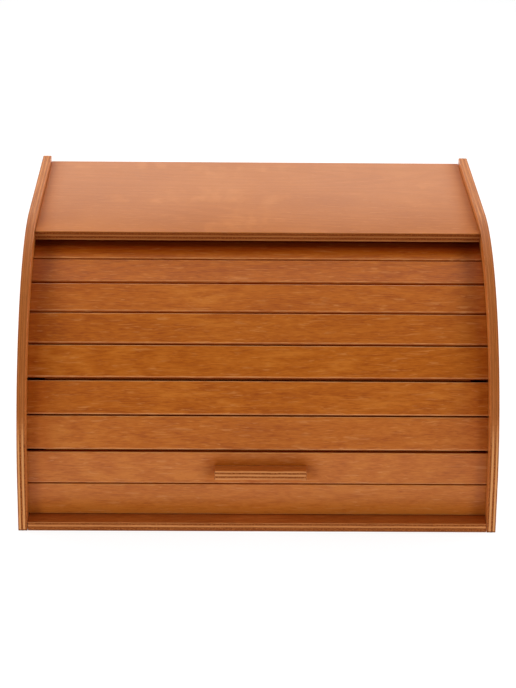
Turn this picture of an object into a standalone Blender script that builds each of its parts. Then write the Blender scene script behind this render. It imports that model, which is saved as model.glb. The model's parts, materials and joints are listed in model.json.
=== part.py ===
"""A roll-top bread box in stained plywood.

Two side panels carry a base, a back and a recessed top shelf between them. A shutter of
wooden slats on a canvas backing runs in a circular groove in each side panel. The groove's
centre is also the centre of the side panels' front curve, so the whole shutter turns about
one axis: it closes down on the base, and it opens up, under the shelf and down the back.

Units are metres. X runs across the box, -Y is its front, and Z is up from what it stands on.
"""

import math

import bmesh
import bpy

# Driving dimensions of the case
WIDTH = 0.340
STRAIGHT_FRONT = 0.036
ARC_RADIUS = 0.154
SIDE_PLY = 0.0065
BASE_PLY = 0.0065
SHELF_PLY = 0.0065
BACK_PLY = 0.0065
SHELF_RECESS = 0.005
SHELF_DEPTH = 0.185
BASE_SETBACK = 0.0005
CORNER_RADIUS = 0.0015
PANEL_ARRIS = 0.0006
BOARD_ARRIS = 0.0004

# Driving dimensions of the shutter and its track
SLAT_WIDTH = 0.02415
SLAT_THICKNESS = 0.0045
SLAT_BACK_GAP = 0.00035
SLAT_ARRIS = 0.0007
SHUTTER_END_ANGLE = math.radians(106.0)
GROOVE_DEPTH = 0.0032
CANVAS_THICKNESS = 0.0006
CANVAS_SIDE_MARGIN = 0.012
CANVAS_END_MARGIN = 0.004

# Driving dimensions of the handle strip and its screws
HANDLE_LENGTH = 0.0655
HANDLE_REACH = 0.0122
HANDLE_HEIGHT = 0.0073
HANDLE_ARRIS = 0.0006
HANDLE_SLAT = 2
HANDLE_SHIFT = 0.002
HANDLE_DROP = 0.0014
SCREW_SPACING = 0.042
SCREW_LENGTH = 0.0125
SCREW_RADIUS = 0.00125
SCREW_HEAD_RADIUS = 0.0024
SCREW_HEAD_DEPTH = 0.0016
SCREW_TIP = 0.002
SCREW_SINK = 0.0002

# Driving dimensions of the panel pins
PIN_LENGTH = 0.020
PIN_RADIUS = 0.0007
PIN_HEAD_RADIUS = 0.0012
PIN_HEAD_THICKNESS = 0.0006
PIN_TIP = 0.0015
PIN_SINK = 0.0001
BASE_PINS = 3
SHELF_PINS = 3
BACK_PINS = 2
PIN_END_DISTANCE = 0.030

# Clearances
JOINT_GAP = 0.0003
BORE_CLEARANCE = 0.0003
TRACK_CLEARANCE = 0.0004
SLAT_END_CLEARANCE = 0.0005
FOOT_CLEARANCE = 0.0004
SHELF_CLEARANCE = 0.0011
BACK_CLEARANCE = 0.0041
HANDLE_STOP_ANGLE = math.radians(0.6)
GROOVE_END_ANGLE = math.radians(1.5)

# Fineness of the round shapes
ARC_STEP = math.radians(2.5)
CORNER_STEPS = 3
PIN_SIDES = 8
SCREW_SIDES = 16
BEVEL_SEGMENTS = 2
SHARP_ANGLE = math.radians(40.0)
CUTTER_OVERSHOOT = 0.001
MERGE_DISTANCE = 0.00001
AXIS_MARK_SIZE = 0.02

# The case, worked out from the driving dimensions
AXIS_Z = STRAIGHT_FRONT
HEIGHT = STRAIGHT_FRONT + ARC_RADIUS
TRACK_RADIUS = ARC_RADIUS - SHELF_RECESS - SHELF_PLY - SHELF_CLEARANCE
DEPTH = ARC_RADIUS + TRACK_RADIUS + BACK_CLEARANCE + BACK_PLY
FRONT_Y = -DEPTH / 2
BACK_Y = DEPTH / 2
AXIS_Y = FRONT_Y + ARC_RADIUS
INNER_X = WIDTH / 2 - SIDE_PLY
BOARD_LENGTH = 2 * (INNER_X - JOINT_GAP)
SHELF_TOP = HEIGHT - SHELF_RECESS
SHELF_UNDERSIDE = SHELF_TOP - SHELF_PLY
SHELF_FRONT_Y = BACK_Y - SHELF_DEPTH

# The shutter, worked out from the driving dimensions: angles run up from the front
FACE_DISTANCE = math.sqrt(TRACK_RADIUS**2 - (SLAT_WIDTH / 2) ** 2)
INNER_FACE_DISTANCE = FACE_DISTANCE - SLAT_THICKNESS
SLAT_PITCH = 2 * math.atan((SLAT_WIDTH + SLAT_BACK_GAP) / 2 / INNER_FACE_DISTANCE)
SLAT_HALF_ANGLE = math.asin(SLAT_WIDTH / 2 / TRACK_RADIUS)
FOOT_ANGLE = -math.asin((AXIS_Z - BASE_PLY - FOOT_CLEARANCE) / TRACK_RADIUS)
FIRST_SLAT_ANGLE = FOOT_ANGLE + SLAT_HALF_ANGLE
SLAT_COUNT = 1 + round((SHUTTER_END_ANGLE - FIRST_SLAT_ANGLE) / SLAT_PITCH)
LAST_SLAT_ANGLE = FIRST_SLAT_ANGLE + (SLAT_COUNT - 1) * SLAT_PITCH
SLAT_LENGTH = 2 * (INNER_X + GROOVE_DEPTH - SLAT_END_CLEARANCE)

# How far the shutter turns before its handle meets the shelf's lower front edge
HANDLE_SLAT_ANGLE = FIRST_SLAT_ANGLE + (HANDLE_SLAT - 1) * SLAT_PITCH
SHELF_EDGE_DISTANCE = math.hypot(AXIS_Y - SHELF_FRONT_Y, SHELF_UNDERSIDE - AXIS_Z)
SHELF_EDGE_ANGLE = math.atan2(SHELF_UNDERSIDE - AXIS_Z, AXIS_Y - SHELF_FRONT_Y)
HANDLE_TOP_ANGLE = math.asin((HANDLE_HEIGHT / 2 - HANDLE_DROP) / SHELF_EDGE_DISTANCE)
SHUTTER_TRAVEL = SHELF_EDGE_ANGLE - HANDLE_TOP_ANGLE - HANDLE_SLAT_ANGLE - HANDLE_STOP_ANGLE

# Stained timber, cloth and steel: colour, roughness and metallic value
PLY_STAIN = ((0.62, 0.27, 0.09, 1.0), 0.45, 0.0)
SHELF_STAIN = ((0.66, 0.33, 0.15, 1.0), 0.42, 0.0)
SLAT_STAIN = ((0.52, 0.20, 0.05, 1.0), 0.42, 0.0)
HANDLE_STAIN = ((0.60, 0.28, 0.11, 1.0), 0.45, 0.0)
CANVAS_CLOTH = ((0.36, 0.27, 0.17, 1.0), 0.95, 0.0)
BRIGHT_STEEL = ((0.60, 0.60, 0.62, 1.0), 0.35, 1.0)


def clear_scene():
    """Remove every object that is in the file."""
    for obj in list(bpy.data.objects):
        bpy.data.objects.remove(obj)


def new_collection(name):
    """Add a collection to the scene."""
    collection = bpy.data.collections.new(name)
    bpy.context.scene.collection.children.link(collection)
    return collection


def new_material(name, finish):
    """Make a Principled material from a colour, a roughness and a metallic value."""
    colour, roughness, metallic = finish
    material = bpy.data.materials.new(name)
    material.use_nodes = True
    shader = material.node_tree.nodes["Principled BSDF"]
    shader.inputs["Base Color"].default_value = colour
    shader.inputs["Roughness"].default_value = roughness
    shader.inputs["Metallic"].default_value = metallic
    material.diffuse_color = colour
    return material


def add_object(name, mesh, collection, material=None):
    """Put a mesh in a collection as a new object, with its material."""
    obj = bpy.data.objects.new(name, mesh)
    collection.objects.link(obj)
    if material is not None and not mesh.materials:
        mesh.materials.append(material)
    return obj


def add_axis(name, location, collection):
    """Add an empty that the pieces turning about it are parented to."""
    axis = bpy.data.objects.new(name, None)
    axis.empty_display_size = AXIS_MARK_SIZE
    axis.location = location
    collection.objects.link(axis)
    return axis


def as_cutter(obj):
    """Show an object as a wire and keep it out of renders."""
    obj.hide_render = True
    obj.display_type = "WIRE"
    return obj


def round_edges(obj, width):
    """Round an object's sharp edges."""
    bevel = obj.modifiers.new("round_edges", "BEVEL")
    bevel.width = width
    bevel.segments = BEVEL_SEGMENTS
    bevel.limit_method = "ANGLE"
    bevel.angle_limit = SHARP_ANGLE


def cut(obj, cutters):
    """Cut each cutter's shape out of an object."""
    for cutter in cutters:
        boolean = obj.modifiers.new("cut_" + cutter.name, "BOOLEAN")
        boolean.operation = "DIFFERENCE"
        boolean.solver = "EXACT"
        boolean.object = cutter


def box_mesh(name, size):
    """Make the mesh of a box of this size, centred on its origin."""
    shape = bmesh.new()
    bmesh.ops.create_cube(shape, size=1.0)
    bmesh.ops.scale(shape, vec=size, verts=shape.verts)
    mesh = bpy.data.meshes.new(name)
    shape.to_mesh(mesh)
    shape.free()
    return mesh


def plate(name, outline, thickness, location, collection, material=None, parent=None):
    """Extrude a flat outline of (depth, height) points across X into a welded plate."""
    curve = bpy.data.curves.new(name + "_outline", "CURVE")
    curve.dimensions = "2D"
    curve.fill_mode = "BOTH"
    curve.extrude = thickness / 2
    spline = curve.splines.new("POLY")
    spline.points.add(len(outline) - 1)
    for point, (depth, height) in zip(spline.points, outline):
        point.co = (depth, height, 0.0, 1.0)
    spline.use_cyclic_u = True
    source = bpy.data.objects.new(name + "_outline", curve)
    source.rotation_euler = (math.pi / 2, 0.0, math.pi / 2)
    source.location = location
    source.parent = parent
    collection.objects.link(source)
    bpy.context.view_layer.update()
    graph = bpy.context.evaluated_depsgraph_get()
    mesh = bpy.data.meshes.new_from_object(source.evaluated_get(graph))
    mesh.name = name
    weld(mesh)
    obj = add_object(name, mesh, collection, material)
    obj.parent = parent
    obj.matrix_world = source.matrix_world.copy()
    bpy.data.objects.remove(source)
    return obj


def weld(mesh):
    """Join a filled curve's loose caps to its sides and turn every face outwards."""
    shape = bmesh.new()
    shape.from_mesh(mesh)
    bmesh.ops.remove_doubles(shape, verts=shape.verts, dist=MERGE_DISTANCE)
    bmesh.ops.recalc_face_normals(shape, faces=shape.faces)
    shape.to_mesh(mesh)
    shape.free()


def turned(name, profile, sides, collection, material=None):
    """Turn a profile of (radius, height) points, top to bottom, about the local Z axis."""
    mesh = bpy.data.meshes.new(name)
    points = [(radius, 0.0, height) for radius, height in profile]
    edges = [(i, i + 1) for i in range(len(points) - 1)]
    mesh.from_pydata(points, edges, [])
    obj = add_object(name, mesh, collection, material)
    screw = obj.modifiers.new("turn", "SCREW")
    screw.steps = sides
    screw.render_steps = sides
    screw.use_merge_vertices = True
    screw.merge_threshold = MERGE_DISTANCE
    screw.use_smooth_shade = False
    return obj


def arc_points(centre, radius, start, end):
    """Points along an arc: the angle is 0 at the front and grows upwards, over the top."""
    steps = max(1, math.ceil(abs(end - start) / ARC_STEP))
    angles = [start + (end - start) * i / steps for i in range(steps + 1)]
    depth, height = centre
    return [(depth - radius * math.cos(a), height + radius * math.sin(a)) for a in angles]


def corner_points(centre, radius, start):
    """Points round a quarter-circle corner, in the same sense as arc_points."""
    depth, height = centre
    angles = [start + math.pi / 2 * i / CORNER_STEPS for i in range(CORNER_STEPS + 1)]
    return [(depth - radius * math.cos(a), height + radius * math.sin(a)) for a in angles]


def side_outline():
    """The side panel's outline: a straight front foot, a quarter arc, a level top."""
    r = CORNER_RADIUS
    outline = arc_points((ARC_RADIUS, STRAIGHT_FRONT), ARC_RADIUS, 0.0, math.pi / 2)
    outline += corner_points((DEPTH - r, HEIGHT - r), r, math.pi / 2)
    outline += corner_points((DEPTH - r, r), r, math.pi)
    outline += corner_points((r, r), r, 3 * math.pi / 2)
    return outline


def groove_outline():
    """The track's outline: a band as wide as a slat needs, from the base to past the last slat."""
    centre = (ARC_RADIUS, STRAIGHT_FRONT)
    outer = TRACK_RADIUS + TRACK_CLEARANCE
    inner = INNER_FACE_DISTANCE - TRACK_CLEARANCE
    start = FOOT_ANGLE - GROOVE_END_ANGLE
    end = LAST_SLAT_ANGLE + SLAT_HALF_ANGLE + SHUTTER_TRAVEL + GROOVE_END_ANGLE
    return arc_points(centre, outer, start, end) + arc_points(centre, inner, end, start)


def pin_profile():
    """A panel pin: a flat head on a plain shank with a point."""
    return [
        (0.0, 0.0),
        (PIN_HEAD_RADIUS, 0.0),
        (PIN_HEAD_RADIUS, -PIN_HEAD_THICKNESS),
        (PIN_RADIUS, -PIN_HEAD_THICKNESS),
        (PIN_RADIUS, PIN_TIP - PIN_LENGTH),
        (0.0, -PIN_LENGTH),
    ]


def pin_bore_profile():
    """The bore for a panel pin, sunk for its head."""
    head = PIN_HEAD_RADIUS + BORE_CLEARANCE
    shank = PIN_RADIUS + BORE_CLEARANCE
    seat = -PIN_HEAD_THICKNESS - BORE_CLEARANCE
    floor = -PIN_LENGTH - BORE_CLEARANCE
    return [
        (0.0, CUTTER_OVERSHOOT),
        (head, CUTTER_OVERSHOOT),
        (head, seat),
        (shank, seat),
        (shank, floor),
        (0.0, floor),
    ]


def screw_profile():
    """A countersunk wood screw."""
    return [
        (0.0, 0.0),
        (SCREW_HEAD_RADIUS, 0.0),
        (SCREW_RADIUS, -SCREW_HEAD_DEPTH),
        (SCREW_RADIUS, SCREW_TIP - SCREW_LENGTH),
        (0.0, -SCREW_LENGTH),
    ]


def screw_bore_profile():
    """The countersunk bore for a screw."""
    head = SCREW_HEAD_RADIUS + BORE_CLEARANCE
    shank = SCREW_RADIUS + BORE_CLEARANCE
    floor = -SCREW_LENGTH - BORE_CLEARANCE
    return [
        (0.0, CUTTER_OVERSHOOT),
        (head, CUTTER_OVERSHOOT),
        (head, 0.0),
        (shank, -SCREW_HEAD_DEPTH),
        (shank, floor),
        (0.0, floor),
    ]


def spread(start, end, count):
    """Places for a row of fasteners, the first and last at the ends."""
    if count == 1:
        return [(start + end) / 2]
    return [start + (end - start) * i / (count - 1) for i in range(count)]


def pin_places():
    """The depth and height of each pin, by the board that it holds."""
    base_y = spread(
        FRONT_Y + BASE_SETBACK + PIN_END_DISTANCE, BACK_Y - PIN_END_DISTANCE, BASE_PINS
    )
    shelf_y = spread(SHELF_FRONT_Y + PIN_END_DISTANCE, BACK_Y - PIN_END_DISTANCE, SHELF_PINS)
    back_z = spread(
        BASE_PLY + PIN_END_DISTANCE, SHELF_UNDERSIDE - PIN_END_DISTANCE, BACK_PINS
    )
    return {
        "base": [(y, BASE_PLY / 2) for y in base_y],
        "shelf": [(y, SHELF_TOP - SHELF_PLY / 2) for y in shelf_y],
        "back": [(BACK_Y - BACK_PLY / 2, z) for z in back_z],
    }


def place_pin(obj, sign, depth, height):
    """Set a pin, or its bore, in from a side panel's outer face."""
    obj.location = (sign * (WIDTH / 2 - PIN_SINK), depth, height)
    obj.rotation_euler = (0.0, sign * math.pi / 2, 0.0)


def build_pins(parts, cutters, steel):
    """Make every panel pin, and return its bore by side and board."""
    bores = {}
    for side, sign in (("left", -1), ("right", 1)):
        for board, places in pin_places().items():
            for number, (depth, height) in enumerate(places, 1):
                name = f"{board}_pin_{side}_{number}"
                pin = turned(name, pin_profile(), PIN_SIDES, parts, steel)
                place_pin(pin, sign, depth, height)
                bore = turned(name + "_bore", pin_bore_profile(), PIN_SIDES, cutters)
                place_pin(as_cutter(bore), sign, depth, height)
                bores.setdefault((side, board), []).append(bore)
    return bores


def build_side_panels(parts, cutters, bores, ply):
    """Make the two side panels, each with its track groove and pin bores."""
    for side, sign in (("left", -1), ("right", 1)):
        centre = (sign * (WIDTH / 2 - SIDE_PLY / 2), FRONT_Y, 0.0)
        panel = plate(f"side_panel_{side}", side_outline(), SIDE_PLY, centre, parts, ply)
        round_edges(panel, PANEL_ARRIS)
        groove_x = sign * (INNER_X + (GROOVE_DEPTH - CUTTER_OVERSHOOT) / 2)
        groove = plate(
            f"track_groove_{side}",
            groove_outline(),
            GROOVE_DEPTH + CUTTER_OVERSHOOT,
            (groove_x, FRONT_Y, 0.0),
            cutters,
        )
        side_bores = [bore for key in bores if key[0] == side for bore in bores[key]]
        cut(panel, [as_cutter(groove), *side_bores])


def build_board(name, size, location, parts, bores, material):
    """Make a board that stands between the side panels, with its pin bores."""
    board = add_object(name, box_mesh(name, size), parts, material)
    board.location = location
    round_edges(board, BOARD_ARRIS)
    cut(board, bores)


def build_boards(parts, bores, ply, shelf_ply):
    """Make the base, the top shelf and the back."""
    both = {
        board: bores[("left", board)] + bores[("right", board)]
        for board in ("base", "shelf", "back")
    }
    base_depth = DEPTH - BASE_SETBACK
    build_board(
        "base_board",
        (BOARD_LENGTH, base_depth, BASE_PLY),
        (0.0, BACK_Y - base_depth / 2, BASE_PLY / 2),
        parts,
        both["base"],
        ply,
    )
    build_board(
        "top_shelf",
        (BOARD_LENGTH, SHELF_DEPTH, SHELF_PLY),
        (0.0, BACK_Y - SHELF_DEPTH / 2, SHELF_TOP - SHELF_PLY / 2),
        parts,
        both["shelf"],
        shelf_ply,
    )
    back_height = SHELF_UNDERSIDE - BASE_PLY - 2 * JOINT_GAP
    build_board(
        "back_board",
        (BOARD_LENGTH, BACK_PLY, back_height),
        (0.0, BACK_Y - BACK_PLY / 2, (BASE_PLY + SHELF_UNDERSIDE) / 2),
        parts,
        both["back"],
        ply,
    )


def place_on_track(obj, axis, angle, distance):
    """Parent a shutter piece to the axis, at an angle up from the front."""
    obj.parent = axis
    obj.location = (0.0, -distance * math.cos(angle), distance * math.sin(angle))
    obj.rotation_euler = (-angle, 0.0, 0.0)


def build_slats(parts, axis, material):
    """Make the row of slats, and return the one that carries the handle."""
    size = (SLAT_LENGTH, SLAT_THICKNESS, SLAT_WIDTH)
    shared = box_mesh("slat", size)
    handle_slat = None
    for number in range(1, SLAT_COUNT + 1):
        slat = add_object(f"slat_{number:02d}", shared, parts, material)
        angle = FIRST_SLAT_ANGLE + (number - 1) * SLAT_PITCH
        place_on_track(slat, axis, angle, FACE_DISTANCE - SLAT_THICKNESS / 2)
        round_edges(slat, SLAT_ARRIS)
        if number == HANDLE_SLAT:
            handle_slat = slat
    return handle_slat


def canvas_radius(angle, flat_distance):
    """How far a sheet lying flat on each slat's back is from the axis at this angle."""
    number = round((angle - FIRST_SLAT_ANGLE) / SLAT_PITCH)
    number = min(max(number, 0), SLAT_COUNT - 1)
    return flat_distance / math.cos(angle - FIRST_SLAT_ANGLE - number * SLAT_PITCH)


def canvas_outline():
    """The backing's section: it lies flat on each slat's back and folds at each joint."""
    margin = CANVAS_END_MARGIN / INNER_FACE_DISTANCE
    start = FIRST_SLAT_ANGLE - SLAT_HALF_ANGLE + margin
    end = LAST_SLAT_ANGLE + SLAT_HALF_ANGLE - margin
    folds = [FIRST_SLAT_ANGLE + (i + 0.5) * SLAT_PITCH for i in range(SLAT_COUNT - 1)]
    angles = [start, *folds, end]
    outer = INNER_FACE_DISTANCE - JOINT_GAP
    inner = outer - CANVAS_THICKNESS
    section = []
    for flat, run in ((outer, angles), (inner, angles[::-1])):
        for angle in run:
            radius = canvas_radius(angle, flat)
            section.append((-radius * math.cos(angle), radius * math.sin(angle)))
    return section


def build_canvas(parts, axis, material):
    """Make the canvas that holds the slats together from behind."""
    width = 2 * (INNER_X - CANVAS_SIDE_MARGIN)
    plate("canvas_backing", canvas_outline(), width, (0.0, 0.0, 0.0), parts, material, axis)


def build_handle(parts, cutters, slat, wood, steel):
    """Make the handle strip, and the two screws that hold it from behind its slat."""
    reach = HANDLE_REACH
    handle = add_object(
        "handle", box_mesh("handle", (HANDLE_LENGTH, reach, HANDLE_HEIGHT)), parts, wood
    )
    handle.parent = slat
    out = SLAT_THICKNESS / 2 + JOINT_GAP + reach / 2
    handle.location = (HANDLE_SHIFT, -out, -HANDLE_DROP)
    round_edges(handle, HANDLE_ARRIS)
    bores = []
    for side, sign in (("left", -1), ("right", 1)):
        name = f"handle_screw_{side}"
        place = (
            HANDLE_SHIFT + sign * SCREW_SPACING / 2,
            SLAT_THICKNESS / 2 - SCREW_SINK,
            -HANDLE_DROP,
        )
        screw = turned(name, screw_profile(), SCREW_SIDES, parts, steel)
        bore = turned(name + "_bore", screw_bore_profile(), SCREW_SIDES, cutters)
        for obj in (screw, as_cutter(bore)):
            obj.parent = slat
            obj.location = place
            obj.rotation_euler = (-math.pi / 2, 0.0, 0.0)
        bores.append(bore)
    cut(handle, bores)
    cut(slat, bores)


def main():
    """Build the whole box."""
    clear_scene()
    parts = new_collection("bread_box")
    cutters = new_collection("cutters")
    ply = new_material("stained_ply", PLY_STAIN)
    shelf_ply = new_material("stained_shelf_ply", SHELF_STAIN)
    slat_wood = new_material("stained_slat_wood", SLAT_STAIN)
    handle_ply = new_material("stained_handle_ply", HANDLE_STAIN)
    canvas = new_material("canvas_cloth", CANVAS_CLOTH)
    steel = new_material("bright_steel", BRIGHT_STEEL)
    bores = build_pins(parts, cutters, steel)
    build_side_panels(parts, cutters, bores, ply)
    build_boards(parts, bores, ply, shelf_ply)
    axis = add_axis("shutter_axis", (0.0, AXIS_Y, AXIS_Z), parts)
    handle_slat = build_slats(parts, axis, slat_wood)
    build_canvas(parts, axis, canvas)
    build_handle(parts, cutters, handle_slat, handle_ply, steel)


main()
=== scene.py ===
"""The looks of a roll-top bread box in stained plywood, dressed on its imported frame.

Every board, slat, nail, screw and cloth is rebuilt here with its fine shape: sanded arrises,
the plies along the sawn edges, the track grooves, the weave. Each takes its size and place
from the frame, rides on the frame's body that carries it and wears a procedural finish.

Units are metres. X runs across the box, -Y is its front, and Z is up from what it stands on.
"""

import json
import logging
import math
from collections.abc import Iterable, Mapping, Sequence
from dataclasses import dataclass
from enum import Enum
from functools import cached_property

import bmesh
import bpy
import numpy as np
from bpy.types import ID, Material, Mesh, Node, NodeOutputs, NodeSocket, Object, World
from mathutils import Matrix, Vector, noise


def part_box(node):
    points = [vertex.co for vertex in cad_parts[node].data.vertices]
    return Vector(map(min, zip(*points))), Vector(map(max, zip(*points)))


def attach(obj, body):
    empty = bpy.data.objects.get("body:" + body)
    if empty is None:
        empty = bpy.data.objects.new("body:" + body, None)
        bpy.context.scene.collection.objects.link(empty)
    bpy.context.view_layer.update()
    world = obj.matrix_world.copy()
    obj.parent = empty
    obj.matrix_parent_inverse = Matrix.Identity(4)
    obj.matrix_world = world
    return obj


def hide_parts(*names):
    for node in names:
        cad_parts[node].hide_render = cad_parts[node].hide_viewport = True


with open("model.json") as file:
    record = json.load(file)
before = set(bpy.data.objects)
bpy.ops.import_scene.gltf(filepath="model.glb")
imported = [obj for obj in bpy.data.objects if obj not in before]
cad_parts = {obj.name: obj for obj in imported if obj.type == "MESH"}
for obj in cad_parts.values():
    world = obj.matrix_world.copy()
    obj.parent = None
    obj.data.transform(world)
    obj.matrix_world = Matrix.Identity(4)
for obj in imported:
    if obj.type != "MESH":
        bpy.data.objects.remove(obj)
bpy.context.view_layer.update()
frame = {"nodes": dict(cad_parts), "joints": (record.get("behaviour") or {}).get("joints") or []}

LOG = logging.getLogger("bread_box")

MM = 0.001
WELD = 0.002 * MM
FULL_TURN = 2 * math.pi
QUARTER_TURN = math.pi / 2

Triple = tuple[float, float, float]
Colour = Triple
Span = tuple[float, float]
Points = list[tuple[float, float]]
BLACK: Colour = (0.0, 0.0, 0.0)
WHITE: Colour = (1.0, 1.0, 1.0)


class Layer(Enum):
    """The mesh attributes that the finishes read."""

    TIMBER = "timber"
    END_GRAIN = "end_grain"
    WEAR = "wear"
    PALENESS = "paleness"


class Side(Enum):
    """The two sides of the box, by the sign of their X."""

    LEFT = -1
    RIGHT = 1

    @property
    def word(self) -> str:
        """The side's word in the frame's node names."""
        return self.name.lower()


class Facing(Enum):
    """Where a board's outer face looks, as the directions across its grain and inwards from it."""

    UP = ((0, 1, 0), (0, 0, -1))
    DOWN = ((0, 1, 0), (0, 0, 1))
    BACK = ((0, 0, 1), (0, -1, 0))


@dataclass(frozen=True)
class Noise:
    """Soft noise, by its waves per metre along each axis and how it is broken up, bent and turned."""

    scale: Triple
    detail: float = 2.0
    roughness: float = 0.5
    distortion: float = 0.0
    turn: float = 0.0


class Graph:
    """The nodes of a material or a world, added and linked in a few words."""

    def __init__(self, holder: Material | World) -> None:
        """Give a new material or world its nodes.

        Args:
            holder: The material or world.
        """
        self.holder = holder
        holder.use_nodes = True
        self.tree = holder.node_tree
        self.shader = self.tree.nodes.get("Principled BSDF") or self.tree.nodes["Background"]

    @classmethod
    def of_material(cls, name: str) -> "Graph":
        """Start a material that holds one Principled shader."""
        return cls(bpy.data.materials.new(name))

    @cached_property
    def here(self) -> NodeSocket:
        """The place in the frame's axes, as it is at rest."""
        return self.add("TexCoord").outputs["Object"]

    @cached_property
    def spot(self) -> NodeOutputs:
        """The X, Y and Z of the place in the frame's axes."""
        return self.split(self.here)

    @cached_property
    def timber(self) -> NodeSocket:
        """The place in the timber that a board was sawn from, or on the cloth."""
        return self.attribute(Layer.TIMBER, "Vector")

    def feed(self, socket: NodeSocket, value: object) -> None:
        """Link a socket to an output, or set it to a constant.

        Args:
            socket: The input to feed.
            value: An output socket, a number, or a colour or vector.
        """
        if isinstance(value, NodeSocket):
            self.tree.links.new(value, socket)
        elif isinstance(value, tuple) and socket.type == "RGBA":
            socket.default_value = (*value, 1.0)
        else:
            socket.default_value = value

    def add(
        self, kind: str, inputs: Mapping[str | int, object] | None = None, **settings: object
    ) -> Node:
        """Add a node.

        Args:
            kind: The node's type without its ShaderNode prefix.
            inputs: What feeds its inputs, by name or number.
            settings: Its own properties.

        Returns:
            The new node.
        """
        node = self.tree.nodes.new("ShaderNode" + kind)
        for name, value in settings.items():
            setattr(node, name, value)
        for key, value in (inputs or {}).items():
            self.feed(node.inputs[key], value)
        return node

    def finish(self, **inputs: object) -> Material | World:
        """Feed the shader's inputs, with their spaces written as underscores.

        Args:
            inputs: What feeds each input.

        Returns:
            The finished material or world.
        """
        for name, value in inputs.items():
            self.feed(self.shader.inputs[name.replace("_", " ")], value)
        return self.holder

    def math(self, operation: str, *values: object) -> NodeSocket:
        """Work out one number from up to three."""
        return self.add("Math", dict(enumerate(values)), operation=operation).outputs[0]

    def times(self, first: object, second: object) -> NodeSocket:
        """Multiply two numbers."""
        return self.math("MULTIPLY", first, second)

    def attribute(self, layer: Layer, output: str = "Fac") -> NodeSocket:
        """Read one of the mesh's attributes."""
        return self.add("Attribute", attribute_name=layer.value).outputs[output]

    def split(self, vector: NodeSocket) -> NodeOutputs:
        """Part a vector into its X, Y and Z."""
        return self.add("SeparateXYZ", {0: vector}).outputs

    def noise(self, place: NodeSocket, kind: Noise, output: str = "Fac") -> NodeSocket:
        """Read soft noise at a place.

        Args:
            place: The place, in metres.
            kind: The noise.
            output: Fac for one number, or Color for three.

        Returns:
            The noise, mostly between 0.25 and 0.75.
        """
        turn = (0.0, 0.0, kind.turn)
        waves = self.add("Mapping", {"Vector": place, "Rotation": turn, "Scale": kind.scale})
        settings = {
            "Vector": waves.outputs["Vector"],
            "Scale": 1.0,
            "Detail": kind.detail,
            "Roughness": kind.roughness,
            "Distortion": kind.distortion,
        }
        return self.add("TexNoise", settings).outputs[output]

    def bent(self, place: NodeSocket, kind: Noise, reach: Triple) -> NodeSocket:
        """Push a place about with noise, at most so many metres along each axis."""
        push = self.add("VectorMath", {0: self.noise(place, kind, "Color"), 1: reach}, operation="MULTIPLY")
        return self.add("VectorMath", {0: place, 1: push.outputs[0]}, operation="ADD").outputs[0]

    def between(
        self, value: object, low: float, high: float, to_low: float = 0.0, to_high: float = 1.0
    ) -> NodeSocket:
        """Map the range from low to high smoothly to another, held at its ends."""
        numbers = {0: value, 1: low, 2: high, 3: to_low, 4: to_high}
        return self.add("MapRange", numbers, interpolation_type="SMOOTHSTEP").outputs[0]

    def swing(self, terms: Iterable[tuple[object, float]], start: object = 0.5) -> NodeSocket:
        """Add several noises, each swung about its middle.

        Args:
            terms: Each noise with its strength.
            start: The number to add them to.

        Returns:
            The sum.
        """
        total = start
        for value, strength in terms:
            total = self.math("ADD", self.math("MULTIPLY_ADD", value, strength, -strength / 2), total)
        return total

    def ramp(self, value: object, stops: Sequence[tuple[float, Colour]]) -> NodeSocket:
        """Colour a number.

        Args:
            value: The number.
            stops: Places and their colours, in order.

        Returns:
            The colour.
        """
        node = self.add("ValToRGB", {"Fac": value})
        elements = node.color_ramp.elements
        while len(elements) < len(stops):
            elements.new(1.0)
        for element, (place, colour) in zip(elements, stops):
            element.position = place
            element.color = (*colour, 1.0)
        return node.outputs["Color"]

    def blend(self, share: object, first: object, second: object) -> NodeSocket:
        """Mix two colours.

        Args:
            share: How much of the second there is.
            first: The first colour.
            second: The second colour.

        Returns:
            The mixed colour.
        """
        node = self.add("Mix", data_type="RGBA")
        for number, value in ((0, share), (6, first), (7, second)):
            self.feed(node.inputs[number], value)
        return node.outputs[2]

    def bump(self, height: object, depth: float, strength: float = 1.0) -> NodeSocket:
        """Turn a height of 0 to 1 into a normal, by its depth in metres and the share that shows."""
        node = self.add("Bump", {"Height": height, "Distance": depth, "Strength": strength})
        return node.outputs["Normal"]


@dataclass(frozen=True)
class Stain:
    """The three tones that a stain takes in one timber, and the tone of a rubbed arris, which also paints
    the highlight along it.
    """

    deep: Colour
    middle: Colour
    pale: Colour
    rubbed: Colour

    @property
    def fleck(self) -> Colour:
        """The tone of a light fleck, between the pale wood and the rubbed arris with its painted highlight.
        """
        return tuple((pale + rubbed) / 2 for pale, rubbed in zip(self.pale, self.rubbed))

    def deeper(self, shares: Colour) -> Colour:
        """The deep tone with only a share of its red, green and blue."""
        return tuple(channel * share for channel, share in zip(self.deep, shares))

    def stops(self, low: float, high: float) -> tuple[tuple[float, Colour], ...]:
        """The ramp's stops, deep at the low place and pale at the high one."""
        return ((low, self.deep), (0.50, self.middle), (high, self.pale))


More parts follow.
